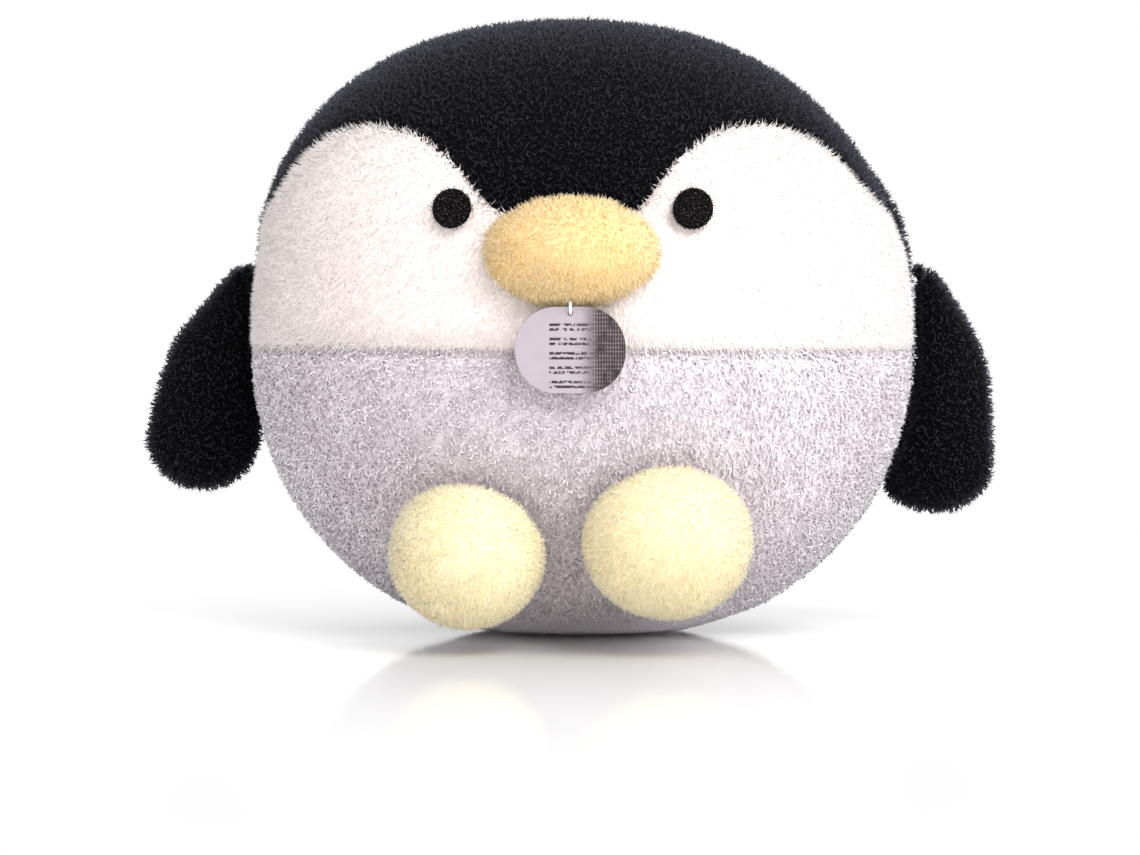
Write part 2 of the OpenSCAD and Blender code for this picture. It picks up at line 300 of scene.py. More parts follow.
def grow_pile(piece, kind, spacing, size, spread, seed):
    """Plants strands on the faces where pile is 1. They follow lean, and spread scatters
    them. length scales each one, and spacing is the least distance between two."""
    tree = bpy.data.node_groups.new("pile", "GeometryNodeTree")
    tree.interface.new_socket("Skin", in_out="INPUT", socket_type="NodeSocketGeometry")
    tree.interface.new_socket("Piece", in_out="OUTPUT", socket_type="NodeSocketGeometry")
    skin = add(tree, "NodeGroupInput").outputs[0]
    named = {name: add(tree, "GeometryNodeInputNamedAttribute", {"Name": name},
                       data_type=form).outputs[0]
             for name, form in (("pile", "FLOAT"), ("length", "FLOAT"), ("lean", "FLOAT_VECTOR"))}
    points = add(tree, "GeometryNodeDistributePointsOnFaces",
                 {"Mesh": skin, "Distance Min": spacing, "Density Max": 2.5 / spacing ** 2,
                  "Density Factor": named["pile"], "Seed": seed},
                 distribute_method="POISSON")
    scatter = add(tree, "FunctionNodeRandomValue",
                  {0: (-spread,) * 3, 1: (spread,) * 3, "Seed": seed + 1},
                  data_type="FLOAT_VECTOR").outputs[0]
    leaning = add(tree, "ShaderNodeVectorMath", {0: points.outputs["Normal"], 1: named["lean"]})
    aim = add(tree, "ShaderNodeVectorMath", {0: leaning.outputs[0], 1: scatter})
    spin = add(tree, "FunctionNodeRandomValue", {2: 0.0, 3: math.tau, "Seed": seed + 2},
               data_type="FLOAT").outputs[1]
    spun = add(tree, "FunctionNodeEulerToRotation",
               {0: add(tree, "ShaderNodeCombineXYZ", {"Z": spin}).outputs[0]})
    aimed = add(tree, "FunctionNodeAlignRotationToVector",
                {"Rotation": spun.outputs[0], "Vector": aim.outputs[0]}, axis="Z")
    grown = add(tree, "FunctionNodeRandomValue", {2: size[0], 3: size[1], "Seed": seed + 3},
                data_type="FLOAT").outputs[1]
    scale = add(tree, "ShaderNodeMath", {0: grown, 1: named["length"]}, operation="MULTIPLY")
    shape = add(tree, "GeometryNodeObjectInfo", {"Object": kind})
    planted = add(tree, "GeometryNodeInstanceOnPoints",
                  {"Points": points.outputs["Points"], "Instance": shape.outputs["Geometry"],
                   "Rotation": aimed.outputs[0], "Scale": scale.outputs[0]})
    tint = add(tree, "FunctionNodeRandomValue", {2: 0.0, 3: 1.0, "Seed": seed + 4},
               data_type="FLOAT").outputs[1]
    tinted = add(tree, "GeometryNodeStoreNamedAttribute",
                 {"Geometry": planted.outputs[0], "Name": "tint", "Value": tint},
                 data_type="FLOAT", domain="INSTANCE")
    count = add(tree, "ShaderNodeMath",
                {0: add(tree, "GeometryNodeInputIndex").outputs[0], 1: 1.0})
    numbered = add(tree, "GeometryNodeStoreNamedAttribute",
                   {"Geometry": tinted.outputs[0], "Name": "strand", "Value": count.outputs[0]},
                   data_type="FLOAT", domain="INSTANCE")
    facing = add(tree, "GeometryNodeStoreNamedAttribute",
                 {"Geometry": numbered.outputs[0], "Name": "facing",
                  "Value": points.outputs["Normal"]}, data_type="FLOAT_VECTOR",
                 domain="INSTANCE")
    real = add(tree, "GeometryNodeRealizeInstances", {"Geometry": facing.outputs[0]})
    both = add(tree, "GeometryNodeJoinGeometry", {0: real.outputs[0]})
    tree.links.new(skin, both.inputs[0])
    add(tree, "NodeGroupOutput", {0: both.outputs[0]})
    modifier = piece.modifiers.new("pile", "NODES")
    modifier.node_group = tree
    settle(piece)
    bpy.data.node_groups.remove(tree)
    piece.data.shade_smooth()


def lay_out_strands(piece):
    """Gives every strand a cell of its own on the OFBake map, above the skin's strip."""
    mesh = piece.data
    if "strand" not in mesh.attributes:
        return
    number = np.zeros(len(mesh.vertices))
    mesh.attributes["strand"].data.foreach_get("value", number)
    corner = np.empty(len(mesh.loops), np.int32)
    mesh.loops.foreach_get("vertex_index", corner)
    layer = mesh.uv_layers["OFBake"]
    uv = np.empty(len(corner) * 2, np.float32)
    layer.uv.foreach_get("vector", uv)
    uv = uv.reshape(-1, 2)
    cell = np.rint(number[corner]).astype(int) - 1
    on_strand = cell >= 0
    rows = math.ceil(math.sqrt(max(cell.max() + 1, 1)))
    skin_share = 0.2
    uv[on_strand, 0] = (cell[on_strand] % rows + uv[on_strand, 0]) / rows
    uv[on_strand, 1] = skin_share + (1 - skin_share) * (
        cell[on_strand] // rows + uv[on_strand, 1]) / rows
    uv[~on_strand, 1] *= skin_share * 0.95
    layer.uv.foreach_set("vector", uv.ravel())


def skin_map(mesh, outside):
    """Lays the skin on the OFBake map: its outer faces to the left, its hidden ones right."""
    layer = mesh.uv_layers.get("OFBake") or mesh.uv_layers.new(name="OFBake")
    points = places(mesh)
    centre = (points.min(0) + points.max(0)) / 2
    middle = points.mean(0) - np.array([0, 0, WAIST_Z])
    away = points - centre + 1e-6
    front = abs(middle[1]) >= abs(middle[0])
    flat = np.stack([away[:, 0] if front else away[:, 1], away[:, 2]], 1)
    flat = (flat - flat.min(0)) / np.maximum(np.ptp(flat, axis=0), 1e-6)
    corner = np.empty(len(mesh.loops), np.int32)
    mesh.loops.foreach_get("vertex_index", corner)
    face_of = np.repeat(np.arange(len(mesh.polygons)),
                        np.array([p.loop_total for p in mesh.polygons]))
    uv = flat[corner]
    uv[:, 0] = uv[:, 0] * 0.48 + np.where(outside[face_of], 0.0, 0.51)
    layer.uv.foreach_set("vector", uv.astype(np.float32).ravel())


def soften(mesh, share):
    """Shades each strand mostly like the skin it stands on, so the pile reads as one soft
    surface and not as separate spikes."""
    own = np.empty(len(mesh.vertices) * 3, np.float32)
    mesh.vertices.foreach_get("normal", own)
    skin = np.empty(len(mesh.vertices) * 3, np.float32)
    mesh.attributes["facing"].data.foreach_get("vector", skin)
    own, skin = own.reshape(-1, 3), skin.reshape(-1, 3)
    shares = share * np.linalg.norm(skin, axis=1, keepdims=True)
    blend = own * (1 - shares) + skin * shares
    blend /= np.maximum(np.linalg.norm(blend, axis=1, keepdims=True), 1e-9)
    mesh.normals_split_custom_set_from_vertices(blend)


def set_fields(mesh, outside, lean, length):
    """Writes the fields that the pile is grown from."""
    pile = mesh.attributes.new("pile", "FLOAT", "FACE")
    pile.data.foreach_set("value", outside.astype(np.float32))
    field = mesh.attributes.new("lean", "FLOAT_VECTOR", "POINT")
    field.data.foreach_set("vector", lean.astype(np.float32).ravel())
    field = mesh.attributes.new("length", "FLOAT", "POINT")
    field.data.foreach_set("value", length.astype(np.float32))


def clear_fields(mesh):
    """Gives the skin between the strands a middle shade, and drops the fields."""
    tint = np.zeros(len(mesh.vertices), np.float32)
    mesh.attributes["tint"].data.foreach_get("value", tint)
    number = np.zeros(len(mesh.vertices), np.float32)
    mesh.attributes["strand"].data.foreach_get("value", number)
    tint[number < 0.5] = 0.5
    mesh.attributes["tint"].data.foreach_set("value", tint)
    for name in ("pile", "lean", "length", "strand", "facing"):
        if name in mesh.attributes:
            mesh.attributes.remove(mesh.attributes[name])


# A curled tuft for the black pile, a fat low curl for the grey, and a fine straight hair for
# the smooth colours.
tuft = strand("tuft", 1.0 * MM, 4.4 * MM, math.radians(85))
curl = strand("curl", 1.3 * MM, 3.0 * MM, math.radians(100))
hair = strand("hair", 0.75 * MM, 4.2 * MM, 0, steps=1)


def cover_with_pile(piece, kind, spacing, size, spread, seed, outside, lean, length):
    """Grows pile on the outside faces, then lays out its map and softens its shading."""
    skin_map(piece.data, outside)
    set_fields(piece.data, outside, lean, length)
    grow_pile(piece, kind, spacing, size, spread, seed)
    lay_out_strands(piece)
    soften(piece.data, SOFTNESS)
    clear_fields(piece.data)


# ---------------------------------------------------------------- cloth

def inflate(piece, pinned, pressure, cap, frames=16):
    """Blows a closed skin up against its seams with a cloth simulation. No point moves
    further than cap."""
    start = places(piece.data)
    group = piece.vertex_groups.new(name="seams")
    group.add([int(i) for i in pinned], 1.0, "REPLACE")
    cloth = piece.modifiers.new("stuffing", "CLOTH")
    fabric = cloth.settings
    fabric.quality = 6
    fabric.mass = 0.15
    fabric.tension_stiffness = fabric.compression_stiffness = 12
    fabric.shear_stiffness = 5
    fabric.bending_stiffness = 0.6
    fabric.vertex_group_mass = "seams"
    fabric.use_pressure = True
    fabric.uniform_pressure_force = pressure
    fabric.effector_weights.gravity = 0
    cloth.point_cache.frame_start, cloth.point_cache.frame_end = 1, frames
    for number in range(1, frames + 1):
        scene.frame_set(number)
    graph = bpy.context.evaluated_depsgraph_get()
    moved = places(piece.evaluated_get(graph).data) - start
    piece.modifiers.clear()
    piece.vertex_groups.clear()
    scene.frame_set(1)
    reach = np.linalg.norm(moved, axis=1, keepdims=True)
    moved *= np.minimum(1, cap / np.maximum(reach, 1e-9))
    put(piece.data, start + moved)


# ---------------------------------------------------------------- body skin

def levels(z, inset):
    """Height above or below the waist, as a share of the body's own."""
    return np.where(z > 0, z / (BODY_SIZE.z - WAIST_Z - inset), z / (WAIST_Z + SIT_DEPTH - inset))


def on_outline(directions, inset):
    """The point where each direction from the middle of the waist meets the body."""
    a, b = BODY_SIZE.x / 2 - inset, BODY_SIZE.y / 2 - inset
    shares = np.stack([directions[:, 0] / a, directions[:, 1] / b,
                       levels(directions[:, 2], inset)], 1)
    rise = np.where(directions[:, 2] > 0, DOME, FULLNESS)
    around = (np.abs(shares[:, :2]) ** FULLNESS).sum(1) ** (rise / FULLNESS)
    reach = (around + np.abs(shares[:, 2]) ** rise) ** (-1 / rise)
    points = directions * reach[:, None]
    points[:, 2] = np.maximum(points[:, 2] + WAIST_Z, BASE_Z)
    return points


def face_edge(x):
    """Height of the upper edge of the face panel, and its slope, at a distance from the middle."""
    x = np.abs(x)
    inner, outer = math.radians(145), math.radians(45)
    ends = [(LOBE_X + LOBE_R * math.cos(a), LOBE_Z + LOBE_R * math.sin(a)) for a in (inner, outer)]
    arc = np.sqrt(np.maximum(LOBE_R ** 2 - (x - LOBE_X) ** 2, 1e-9))
    rise = (ends[0][1] - PEAK_Z) / (ends[0][0] - PEAK_X)
    fall = (FACE_SIDE_Z - ends[1][1]) / (FACE_EDGE_X - ends[1][0])
    where = [x < PEAK_X, x < ends[0][0], x < ends[1][0]]
    height = np.select(where, [np.full_like(x, PEAK_Z), PEAK_Z + (x - PEAK_X) * rise,
                               LOBE_Z + arc], ends[1][1] + (x - ends[1][0]) * fall)
    slope = np.select(where, [np.zeros_like(x), np.full_like(x, rise),
                              -(x - LOBE_X) / arc], fall)
    return height, slope


def seam_distances(points):
    """Distance of each point to each seam of the body, by the seam's name."""
    x, y, z = points.T
    front = y < SIDE_SEAM_Y
    height, slope = face_edge(x)
    far = 1.0
    return {
        "side": np.abs(y - SIDE_SEAM_Y),
        "belly": np.where(front, np.abs(z - BELLY_SEAM_Z), far),
        "face": np.where(front & (z > BELLY_SEAM_Z), np.abs(z - height) / np.hypot(1, slope), far),
        "back": np.where(front, far, np.abs(x)),
    }


def body_skin():
    """The whole skin of the body, closed, blown up between its seams."""
    bm = bmesh.new()
    bmesh.ops.create_icosphere(bm, subdivisions=5, radius=1.0)
    sphere = np.array([v.co for v in bm.verts])
    points = on_outline(sphere / np.linalg.norm(sphere, axis=1, keepdims=True), PILE_T + STRETCH)
    for v, p in zip(bm.verts, points):
        v.co = p
    skin = new_piece("body_skin", bm, grey_pile, "body")
    nearest = np.min(list(seam_distances(points).values()), axis=0)
    seams = np.flatnonzero((nearest < 2.2 * MM) | (points[:, 2] < BASE_Z + 0.2 * MM))
    inflate(skin, seams, pressure=4.0, cap=2.2 * STRETCH)
    bm = bmesh.new()
    bm.from_mesh(skin.data)
    bpy.data.objects.remove(pieces.pop("body_skin"))
    return bm


def cut(bm, keep, point, normal):
    """Cuts the faces for which keep is true along a plane."""
    faces = [f for f in bm.faces if keep(f.calc_center_median())]
    edges = {e for f in faces for e in f.edges}
    verts = {v for f in faces for v in f.verts}
    bmesh.ops.bisect_plane(bm, geom=faces + list(edges) + list(verts), dist=0.15 * MM,
                           plane_co=point, plane_no=normal)


def panel_of(c):
    """Name of the panel that a point of the body's skin belongs to."""
    if c.z < BASE_Z + 0.05 * MM:
        return "base_panel"
    if c.y > SIDE_SEAM_Y:
        return "left_back_panel" if c.x > 0 else "right_back_panel"
    if c.z < BELLY_SEAM_Z:
        return "belly_panel"
    height, _ = face_edge(np.array([c.x]))
    return "face_panel" if c.z < height[0] else "crown_panel"


def cut_face_edge(bm):
    """Cuts the skin along the edge of the face panel, where each skin edge crosses it."""
    front = [v for v in bm.verts if v.co.y < SIDE_SEAM_Y + 0.2 * MM
             and v.co.z > BELLY_SEAM_Z + MM]
    heights, _ = face_edge(np.array([v.co.x for v in front]))
    above = {v: v.co.z - height for v, height in zip(front, heights)}
    crossings = []
    for edge in bm.edges[:]:
        first, second = edge.verts
        if above.get(first, 0) * above.get(second, 0) < 0:
            share = above[first] / (above[first] - above[second])
            crossings.append(bmesh.utils.edge_split(edge, first, share)[1])
    bmesh.ops.connect_verts(bm, verts=crossings)
    bmesh.ops.triangulate(bm, faces=[f for f in bm.faces if len(f.verts) > 4])


def panels():
    """Cuts the body's skin into its panels, tucks the cloth in along each seam, and stuffs
    the top a little over to one side."""
    bm = body_skin()
    cut(bm, lambda c: True, (0, SIDE_SEAM_Y, 0), (0, 1, 0))
    cut(bm, lambda c: c.y < SIDE_SEAM_Y, (0, 0, BELLY_SEAM_Z), (0, 0, 1))
    cut(bm, lambda c: c.y > SIDE_SEAM_Y, (0, 0, 0), (1, 0, 0))
    names = ["base_panel", "left_back_panel", "right_back_panel", "belly_panel",
             "face_panel", "crown_panel"]
    cut_face_edge(bm)
    layer = bm.faces.layers.int.new("panel")
    for f in bm.faces:
        f[layer] = names.index(panel_of(f.calc_center_median()))
    points = np.array([v.co for v in bm.verts])
    distances = seam_distances(points)
    at_side = np.exp(-(distances.pop("side") / TUCK_WIDTH) ** 2)
    at_others = np.exp(-(np.min(list(distances.values()), axis=0) / TUCK_WIDTH) ** 2)
    tuck = np.maximum(SIDE_TUCK * at_side, TUCK * at_others)
    inward = np.array([0, 0, WAIST_Z]) - points
    inward /= np.linalg.norm(inward, axis=1, keepdims=True)
    inward[:, 2] *= points[:, 2] > BASE_Z + 0.1 * MM
    steps = inward * tuck[:, None]
    over = np.maximum(0, points[:, 2] - LEAN_FROM_Z)
    steps[:, 0] += SIDEWAYS * (1 - np.exp(-over / LEAN_OVER))
    behind = points[:, 1] - SIDE_SEAM_Y
    fuller = np.clip(behind / (8 * MM), 0, 1) * np.exp(-(np.maximum(behind, 0) / FULL_DEPTH) ** 2)
    fuller *= np.exp(-((points[:, 2] - FULL_Z) / FULL_HEIGHT) ** 2)
    steps[:, 0] += fuller * np.where(points[:, 0] > 0, FULL_LEFT, FULL_RIGHT)
    for v, step in zip(bm.verts, steps):
        v.co += Vector(step)
    made = {}
    for number, name in enumerate(names):
        part = bm.copy()
        own = part.faces.layers.int["panel"]
        bmesh.ops.delete(part, geom=[f for f in part.faces if f[own] != number], context="FACES")
        made[name] = part
    bm.free()
    return made


def pile_panel(name, bm, material, kind, spacing, size, spread, seed, comb, fringe,
               longer, overlap):
    """One panel: a cloth backing with pile outside. Along its seams the strands are longer
    and combed over the next panel by fringe, and by overlap along the side seam, given low
    down and high up."""
    bmesh.ops.solidify(bm, geom=bm.faces[:], thickness=CLOTH_T)
    piece = new_piece(name, bm, material, "body", name)
    mesh = piece.data
    points = places(mesh)
    centres = np.empty(len(mesh.polygons) * 3, np.float32)
    mesh.polygons.foreach_get("center", centres)
    normals = np.empty(len(mesh.polygons) * 3, np.float32)
    mesh.polygons.foreach_get("normal", normals)
    centres, normals = centres.reshape(-1, 3), normals.reshape(-1, 3)
    away = centres - np.array([0, 0, WAIST_Z])
    outside = (away * normals).sum(1) / np.linalg.norm(away, axis=1) > 0.3
    distances = seam_distances(points)
    high = np.clip((points[:, 2] - 138 * MM) / (12 * MM), 0, 1)
    side_fringe = overlap[0] * (1 - high) + overlap[1] * high
    near_side = np.exp(-(distances.pop("side") / (4 * MM)) ** 2)
    near = np.exp(-(np.min(list(distances.values()), axis=0) / (4 * MM)) ** 2)
    lean = np.tile(np.array(comb, float), (len(points), 1))
    outwards = points - points.mean(0)
    outwards /= np.linalg.norm(outwards, axis=1, keepdims=True)
    lean += outwards * near[:, None] * fringe
    over_seam = 1 if points.mean(0)[1] < SIDE_SEAM_Y else -1
    lean[:, 1] += near_side * side_fringe * over_seam
    length = 1 + longer * np.maximum(near, near_side * np.clip(side_fringe, 0, 1))
    for node, margin in (("_eye", -MM), ("_foot_stem", 4 * MM)):
        for side in SIDES:
            sewn_low, sewn_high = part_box(side + node)
            sewn = (sewn_low + sewn_high) / 2
            from_it = np.hypot(points[:, 0] - sewn.x, points[:, 2] - sewn.z)
            under = (from_it < (sewn_high.x - sewn_low.x) / 2 + margin) & (points[:, 1] < 0)
            length[under] = 0.3
    low = np.clip((points[:, 2] - BASE_Z) / (12 * MM), 0.3, 1)
    if name == "base_panel":
        low = np.full(len(points), 0.3)
        outside = normals[:, 2] < -0.5
    cover_with_pile(piece, kind, spacing, size, spread, seed, outside, lean, length * low)
    return piece


body_panels = panels()
pile_panel("crown_panel", body_panels["crown_panel"], black_pile, tuft, 0.95 * MM, (0.55, 0.85),
           0.9, 11, (0, 0, 0), 0.2, 0.2, (0, 0.6))
pile_panel("face_panel", body_panels["face_panel"], white_pile, hair, 0.62 * MM, (0.45, 0.7),
           0.6, 23, (0, 0, -0.5), 0.6, 0.5, (0.9, -0.5))
pile_panel("belly_panel", body_panels["belly_panel"], grey_pile, curl, 1.06 * MM, (0.62, 1.0),
           0.9, 37, (0, 0, -0.3), 0.1, 0.1, (0.9, 0.9))
pile_panel("left_back_panel", body_panels["left_back_panel"], black_pile, tuft, 1.18 * MM,
           (0.6, 0.9), 0.9, 41, (0, 0, -0.1), 0.3, 0.45, (0, 1.5))
pile_panel("right_back_panel", body_panels["right_back_panel"], black_pile, tuft, 1.18 * MM,
           (0.6, 0.9), 0.9, 43, (0, 0, -0.1), 0.3, 0.45, (0, 1.5))
pile_panel("base_panel", body_panels["base_panel"], grey_pile, curl, 2.2 * MM, (0.7, 1.0),
           0.9, 47, (0, 0, 0), 0, 0, (0, 0))


# ---------------------------------------------------------------- stuffed parts

def merged_copy(node):
    """A bmesh of a CAD node, with the points that lie together made one."""
    bm = bmesh.new()
    bm.from_mesh(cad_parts[node].data)
    bmesh.ops.remove_doubles(bm, verts=bm.verts, dist=0.01 * MM)
    return bm


def evened(piece, voxel, rounds):
    """Gives a piece an even mesh and softens its edges."""
    remesh = piece.modifiers.new("even", "REMESH")
    remesh.mode, remesh.voxel_size = "VOXEL", voxel
    smooth = piece.modifiers.new("soft", "SMOOTH")
    smooth.iterations, smooth.factor = rounds, 0.5
    settle(piece)


def push_out(mesh, rise):
    """Moves each point along its own normal."""
    normals = np.empty(len(mesh.vertices) * 3, np.float32)
    mesh.vertices.foreach_get("normal", normals)
    put(mesh, places(mesh) + normals.reshape(-1, 3) * np.reshape(rise, (-1, 1)))


def lumps(points, size, seed):
    """Smooth noise between -1 and 1, with lumps of the given size."""
    shift = Vector((seed * 7.3, seed * 3.1, seed * 1.7))
    return np.array([noise.noise(Vector(p) / size + shift) for p in points])


def stuffed(name, node, body, stands_for, material, kind, voxel, cap, seam, spacing, size,
            spread, seed, comb=(0, 0, 0), proud=1.4 * MM, soft=6, groove=0.6 * MM,
            joined=(0, 0, 0)):
    """A stuffed part grown from its stuffing: remeshed, blown up with its seam pinned, and
    covered with pile. seam says how far a point lies from the part's own seam, groove how deep
    that seam is, proud how far the skin stays under the pile's tips, and joined which way the
    body lies, where the skin goes right up to it."""
    low, high = joined_box(*stands_for)
    piece = new_piece(name, merged_copy(node), material, body, *stands_for)
    evened(piece, voxel, soft)
    points = places(piece.data)
    from_seam = np.abs(seam(points))
    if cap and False:
        push_out(piece.data, cap * (1 - 0.6 * np.exp(-(from_seam / (3 * MM)) ** 2)))
    elif cap:
        inflate(piece, np.flatnonzero(from_seam < voxel * 0.6), pressure=6.0, cap=cap)
    finer = piece.modifiers.new("finer", "SUBSURF")
    finer.levels = finer.render_levels = 1
    settle(piece)
    mesh = piece.data
    points = places(mesh)
    share = (points - points.min(0)) / np.ptp(points, axis=0)
    joined = np.array(joined)
    inner_low = np.array(low) + proud * (joined > -1)
    inner_high = np.array(high) - proud * (joined < 1)
    put(mesh, inner_low + share * (inner_high - inner_low))
    push_out(mesh, 0.5 * MM * lumps(places(mesh), 14 * MM, seed))
    from_seam = np.abs(seam(points))
    push_out(mesh, -groove * np.exp(-(from_seam / (2.2 * MM)) ** 2))
    count, faces = len(mesh.vertices), len(mesh.polygons)
    cover_with_pile(piece, kind, spacing, size, spread, seed, np.ones(faces, bool),
                    np.tile(np.array(comb, float), (count, 1)), np.ones(count))
    return piece


def no_seam(points):
    """Far from any seam, for a part that has none of its own."""
    return np.ones(len(points))


for side in SIDES:
    foot_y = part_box(side + "_foot_front")[1].y
    foot = stuffed(side + "_foot", side + "_foot_stuffing", side + "_foot",
                   [side + "_foot_front", side + "_foot_back"], lit_yellow_pile, hair, 3 * MM,
                   1.6 * MM, lambda p, y=foot_y: p[:, 1] - y, 0.58 * MM, (0.4, 0.68), 0.6,
                   53 + SIDES[side], (0, 0, -0.35), joined=(0, 1, 0))
    stuffed(side + "_foot_stem", side + "_foot_stem", "body", [side + "_foot_stem"],
            lit_yellow_pile, hair, 2 * MM, 0, no_seam, 1.4 * MM, (0.2, 0.3), 0.4,
            83 + SIDES[side], proud=1.2 * MM, soft=2)
    flipper_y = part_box(side + "_flipper_front")[1].y
    flipper = stuffed(side + "_flipper", side + "_flipper_stuffing", side + "_flipper",
                      [side + "_flipper_front", side + "_flipper_back"], black_pile, tuft,
                      3 * MM, 1.6 * MM, lambda p, y=flipper_y: p[:, 1] - y, 1.0 * MM,
                      (0.55, 0.9), 0.8, 61 + SIDES[side], (0, 0, -0.1),
                      joined=(-SIDES[side], 0, 0))
    stuffed(side + "_flipper_seam", side + "_flipper_seam", "body",
            [side + "_flipper_seam"], black_pile, tuft, 0.8 * MM, 0, no_seam, 0.9 * MM,
            (0.35, 0.6), 0.8, 93 + SIDES[side], proud=0.6 * MM, soft=1)
    stuffed(side + "_eye", side + "_eye", "body", [side + "_eye"], eye_pile, tuft, 0.7 * MM,
            0, no_seam, 0.62 * MM, (0.2, 0.36), 0.9, 73 + SIDES[side], proud=0.8 * MM, soft=2)
beak_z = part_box("beak_upper_panel")[0].z
beak = stuffed("beak", "beak_stuffing", "body", ["beak_upper_panel", "beak_lower_panel"],
               yellow_pile, hair, 2.5 * MM, 1.6 * MM, lambda p: p[:, 2] - beak_z, 0.56 * MM,
               (0.45, 0.85), 0.7, 71, (0, 0, -0.35), groove=0.2 * MM, joined=(0, 1, 0))


# ---------------------------------------------------------------- stuffing

def filling(node, body, voxel, under, lump):
    """Loose fibre inside a part: lumpy, and a little smaller than its cover all round."""
    piece = new_piece(node + "_fibre", merged_copy(node), fibre_fill, body, node)
    evened(piece, voxel, 3)
    push_out(piece.data, lumps(places(piece.data), lump, 5) * 1.5 * MM - under)


filling("body_stuffing", "body", 6 * MM, 7.5 * MM, 25 * MM)
filling("beak_stuffing", "body", 2.5 * MM, 3 * MM, 9 * MM)
for side in SIDES:
    for part in ("_foot", "_flipper"):
        filling(side + part + "_stuffing", side + part, 2.5 * MM, 3.5 * MM, 9 * MM)


# ---------------------------------------------------------------- swing tag

def stepped(tree, value, edge, width, rising=True):
    """0 to 1 across an edge, over a width."""
    low, high = (0.0, 1.0) if rising else (1.0, 0.0)
    return add(tree, "ShaderNodeMapRange", {"Value": value, 1: edge - width / 2,
                                            2: edge + width / 2, 3: low, 4: high}).outputs[0]


def product(tree, *values):
    """All the values multiplied."""
    whole = values[0]
    for value in values[1:]:
        whole = add(tree, "ShaderNodeMath", {0: whole, 1: value}, operation="MULTIPLY").outputs[0]
    return whole


def printed_card():
    """Uncoated card: pale lilac on its right, where pairs of short bars stand for small
    print, and dark brown on its left with a fine pale grid. Slight paper grain."""
    low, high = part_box("tag_card")
    material = bpy.data.materials.new("printed_uncoated_card")
    material.use_nodes = True
    tree = material.node_tree
    shader = tree.nodes["Principled BSDF"]
    place = add(tree, "ShaderNodeTexCoord").outputs["Object"]
    x, _, z = add(tree, "ShaderNodeSeparateXYZ", {0: place}).outputs
    dark_side = stepped(tree, x, 7 * MM, 7 * MM)
    edge = add(tree, "ShaderNodeTexNoise", {"Vector": place, "Scale": 1000 / 1.2, "Detail": 1.0})
    letters = stepped(tree, edge.outputs["Fac"], 0.43, 0.06)
    rows = add(tree, "ShaderNodeMath", {0: z, 1: 5.4 * MM}, operation="FLOORED_MODULO").outputs[0]
    row_edges = [stepped(tree, rows, at * MM, 0.25 * MM, rising) for at, rising in
                 ((0.5, True), (1.5, False), (2.3, True), (3.3, False))]
    pair = add(tree, "ShaderNodeMath", {0: product(tree, *row_edges[:2]),
                                        1: product(tree, *row_edges[2:])}).outputs[0]
    left_end = stepped(tree, x, -8 * MM, 0.4 * MM)
    right_end = stepped(tree, x, 8 * MM, 6 * MM, False)
    below_top = stepped(tree, z, high.z - 5 * MM, 0.5 * MM, False)
    ink = product(tree, pair, letters, left_end, right_end, below_top)
    paper = add(tree, "ShaderNodeTexNoise", {"Vector": place, "Scale": 1000 / 6, "Detail": 4.0})
    pale = add(tree, "ShaderNodeMix", {0: paper.outputs["Fac"], 6: linear("#9c929a"),
                                       7: linear("#a89ea6")}, data_type="RGBA").outputs[2]
    blend = add(tree, "ShaderNodeMix", {0: dark_side, 6: pale, 7: linear("#1a0e12")},
                data_type="RGBA").outputs[2]
    printed = add(tree, "ShaderNodeMix", {0: ink, 6: blend, 7: linear("#1d1216")},
                  data_type="RGBA").outputs[2]
    lines = [stepped(tree, add(tree, "ShaderNodeMath", {0: axis, 1: step * MM},
                               operation="FLOORED_MODULO").outputs[0],
                     0.16 * MM, 0.12 * MM, False) for axis, step in ((x, 1.0), (z, 1.6))]
    grid = add(tree, "ShaderNodeMath", {0: lines[0], 1: lines[1]}, operation="MAXIMUM").outputs[0]
    thin = add(tree, "ShaderNodeTexNoise", {"Vector": place, "Scale": 1000 / 4, "Detail": 1.0})
    grid = product(tree, grid, stepped(tree, thin.outputs["Fac"], 0.45, 0.2),
                   stepped(tree, x, 2 * MM, 4 * MM))
    final = add(tree, "ShaderNodeMix", {0: grid, 6: printed, 7: linear("#86797f")},
                data_type="RGBA").outputs[2]
    tree.links.new(final, shader.inputs["Base Color"])
    grain = add(tree, "ShaderNodeTexNoise", {"Vector": place, "Scale": 1000 / 0.4})
    bump = add(tree, "ShaderNodeBump", {"Height": grain.outputs["Fac"], "Strength": 0.2,
                                        "Distance": 0.1 * MM})
    tree.links.new(bump.outputs["Normal"], shader.inputs["Normal"])
    rough = add(tree, "ShaderNodeMapRange", {"Value": paper.outputs["Fac"], 3: 0.5, 4: 0.7})
    tree.links.new(rough.outputs[0], shader.inputs["Roughness"])
    return material


def nylon_loop():
    """Clear nylon thread: milky, a soft shine, finely drawn along its length."""
    material = bpy.data.materials.new("clear_drawn_nylon")
    material.use_nodes = True
    tree = material.node_tree
    shader = tree.nodes["Principled BSDF"]
    place = add(tree, "ShaderNodeTexCoord").outputs["Object"]
    drawn = add(tree, "ShaderNodeTexNoise", {"Vector": place, "Scale": 1000 / 1.0, "Detail": 2.0})
    colour = add(tree, "ShaderNodeMix", {0: drawn.outputs["Fac"], 6: linear("#e4e4e6"),
                                         7: linear("#f8f8f8")}, data_type="RGBA")
    tree.links.new(colour.outputs[2], shader.inputs["Base Color"])
    rough = add(tree, "ShaderNodeMapRange", {"Value": drawn.outputs["Fac"], 3: 0.25, 4: 0.4})
    tree.links.new(rough.outputs[0], shader.inputs["Roughness"])
    shader.inputs["IOR"].default_value = 1.53
    return material


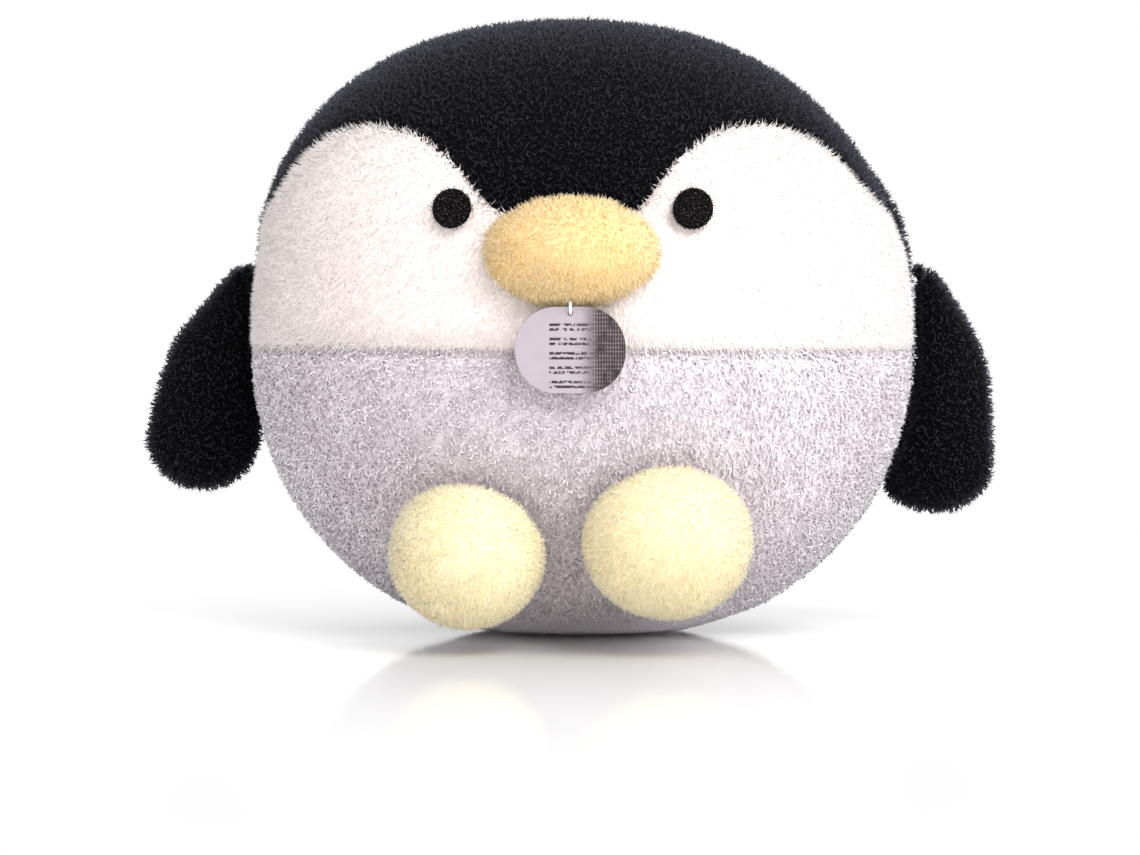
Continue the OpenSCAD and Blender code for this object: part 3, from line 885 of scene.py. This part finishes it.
for node, material in (("tag_card", printed_card()), ("tag_loop", nylon_loop())):
    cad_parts[node].data.materials.clear()
    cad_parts[node].data.materials.append(material)


# ---------------------------------------------------------------- studio

def studio():
    """A pale floor with a soft reflection, a white backdrop, and broad soft lamps."""
    bm = bmesh.new()
    bmesh.ops.create_grid(bm, x_segments=1, y_segments=1, size=3.0)
    mesh = bpy.data.meshes.new("floor")
    bm.to_mesh(mesh)
    bm.free()
    floor = bpy.data.objects.new("floor", mesh)
    scene.collection.objects.link(floor)
    material = bpy.data.materials.new("white_acrylic_floor")
    material.use_nodes = True
    shader = material.node_tree.nodes["Principled BSDF"]
    shader.inputs["Base Color"].default_value = linear("#fbfbfc")
    shader.inputs["Roughness"].default_value = 0.1
    tree = material.node_tree
    seen = add(tree, "ShaderNodeLightPath").outputs["Is Camera Ray"]
    away = add(tree, "ShaderNodeVectorMath",
               {0: add(tree, "ShaderNodeTexCoord").outputs["Object"]}, operation="LENGTH")
    far = add(tree, "ShaderNodeMapRange", {"Value": away.outputs["Value"], 1: 0.15, 2: 0.6})
    fade = add(tree, "ShaderNodeMath", {0: far.outputs[0], 1: seen}, operation="MULTIPLY")
    white = add(tree, "ShaderNodeEmission", {"Color": (1, 1, 1, 1), "Strength": 1.0})
    mixed = add(tree, "ShaderNodeMixShader", {0: fade.outputs[0], 1: shader.outputs[0],
                                              2: white.outputs[0]})
    tree.links.new(mixed.outputs[0], tree.nodes["Material Output"].inputs["Surface"])
    mesh.materials.append(material)
    world = bpy.data.worlds.new("studio")
    world.use_nodes = True
    scene.world = world
    sky = world.node_tree
    rays = add(sky, "ShaderNodeLightPath").outputs
    shown = add(sky, "ShaderNodeMath", {0: rays["Is Camera Ray"], 1: rays["Is Glossy Ray"]},
                operation="MAXIMUM")
    shown = add(sky, "ShaderNodeMath", {0: shown.outputs[0], 1: rays["Is Transmission Ray"]},
                operation="MAXIMUM")
    level = add(sky, "ShaderNodeMapRange", {"Value": shown.outputs[0], 3: 0.9, 4: 1.0})
    sky.nodes["Background"].inputs["Color"].default_value = (1, 1, 1, 1)
    sky.links.new(level.outputs[0], sky.nodes["Background"].inputs["Strength"])
    for name, place, size, power in (("key", (0.9, -1.6, 1.5), 1.2, 40.0),
                                     ("fill", (-1.4, -1.2, 0.9), 1.6, 7.0),
                                     ("low", (1.3, -1.1, 0.4), 1.0, 9.0),
                                     ("back", (0.2, 1.5, 1.4), 1.4, 10.0)):
        data = bpy.data.lights.new(name, "AREA")
        data.energy, data.size = power, size
        lamp = bpy.data.objects.new(name, data)
        lamp.location = place
        lamp.rotation_euler = (Vector((0, 0, 0.12)) - Vector(place)).to_track_quat(
            "-Z", "Y").to_euler()
        scene.collection.objects.link(lamp)


def camera():
    """A long lens nearly level with the toy, a little to its left side."""
    data = bpy.data.cameras.new("camera")
    made = bpy.data.objects.new("camera", data)
    scene.collection.objects.link(made)
    azimuth, elevation, away = math.radians(2.3), math.radians(2.5), 1.6
    aim = Vector((-5 * MM, 0, 83 * MM))
    width = 465 * MM                     # how much of the scene the picture spans
    back = Vector((math.sin(azimuth) * math.cos(elevation),
                   -math.cos(azimuth) * math.cos(elevation), math.sin(elevation)))
    made.location = aim + back * away
    made.rotation_euler = (-back).to_track_quat("-Z", "Y").to_euler()
    data.sensor_width = 36
    data.lens = 36 * away / width
    data.clip_start, data.clip_end = 0.05, 20
    scene.camera = made


studio()
camera()
scene.view_settings.view_transform = "Standard"
for kind in (tuft, curl, hair):
    bpy.data.objects.remove(kind)
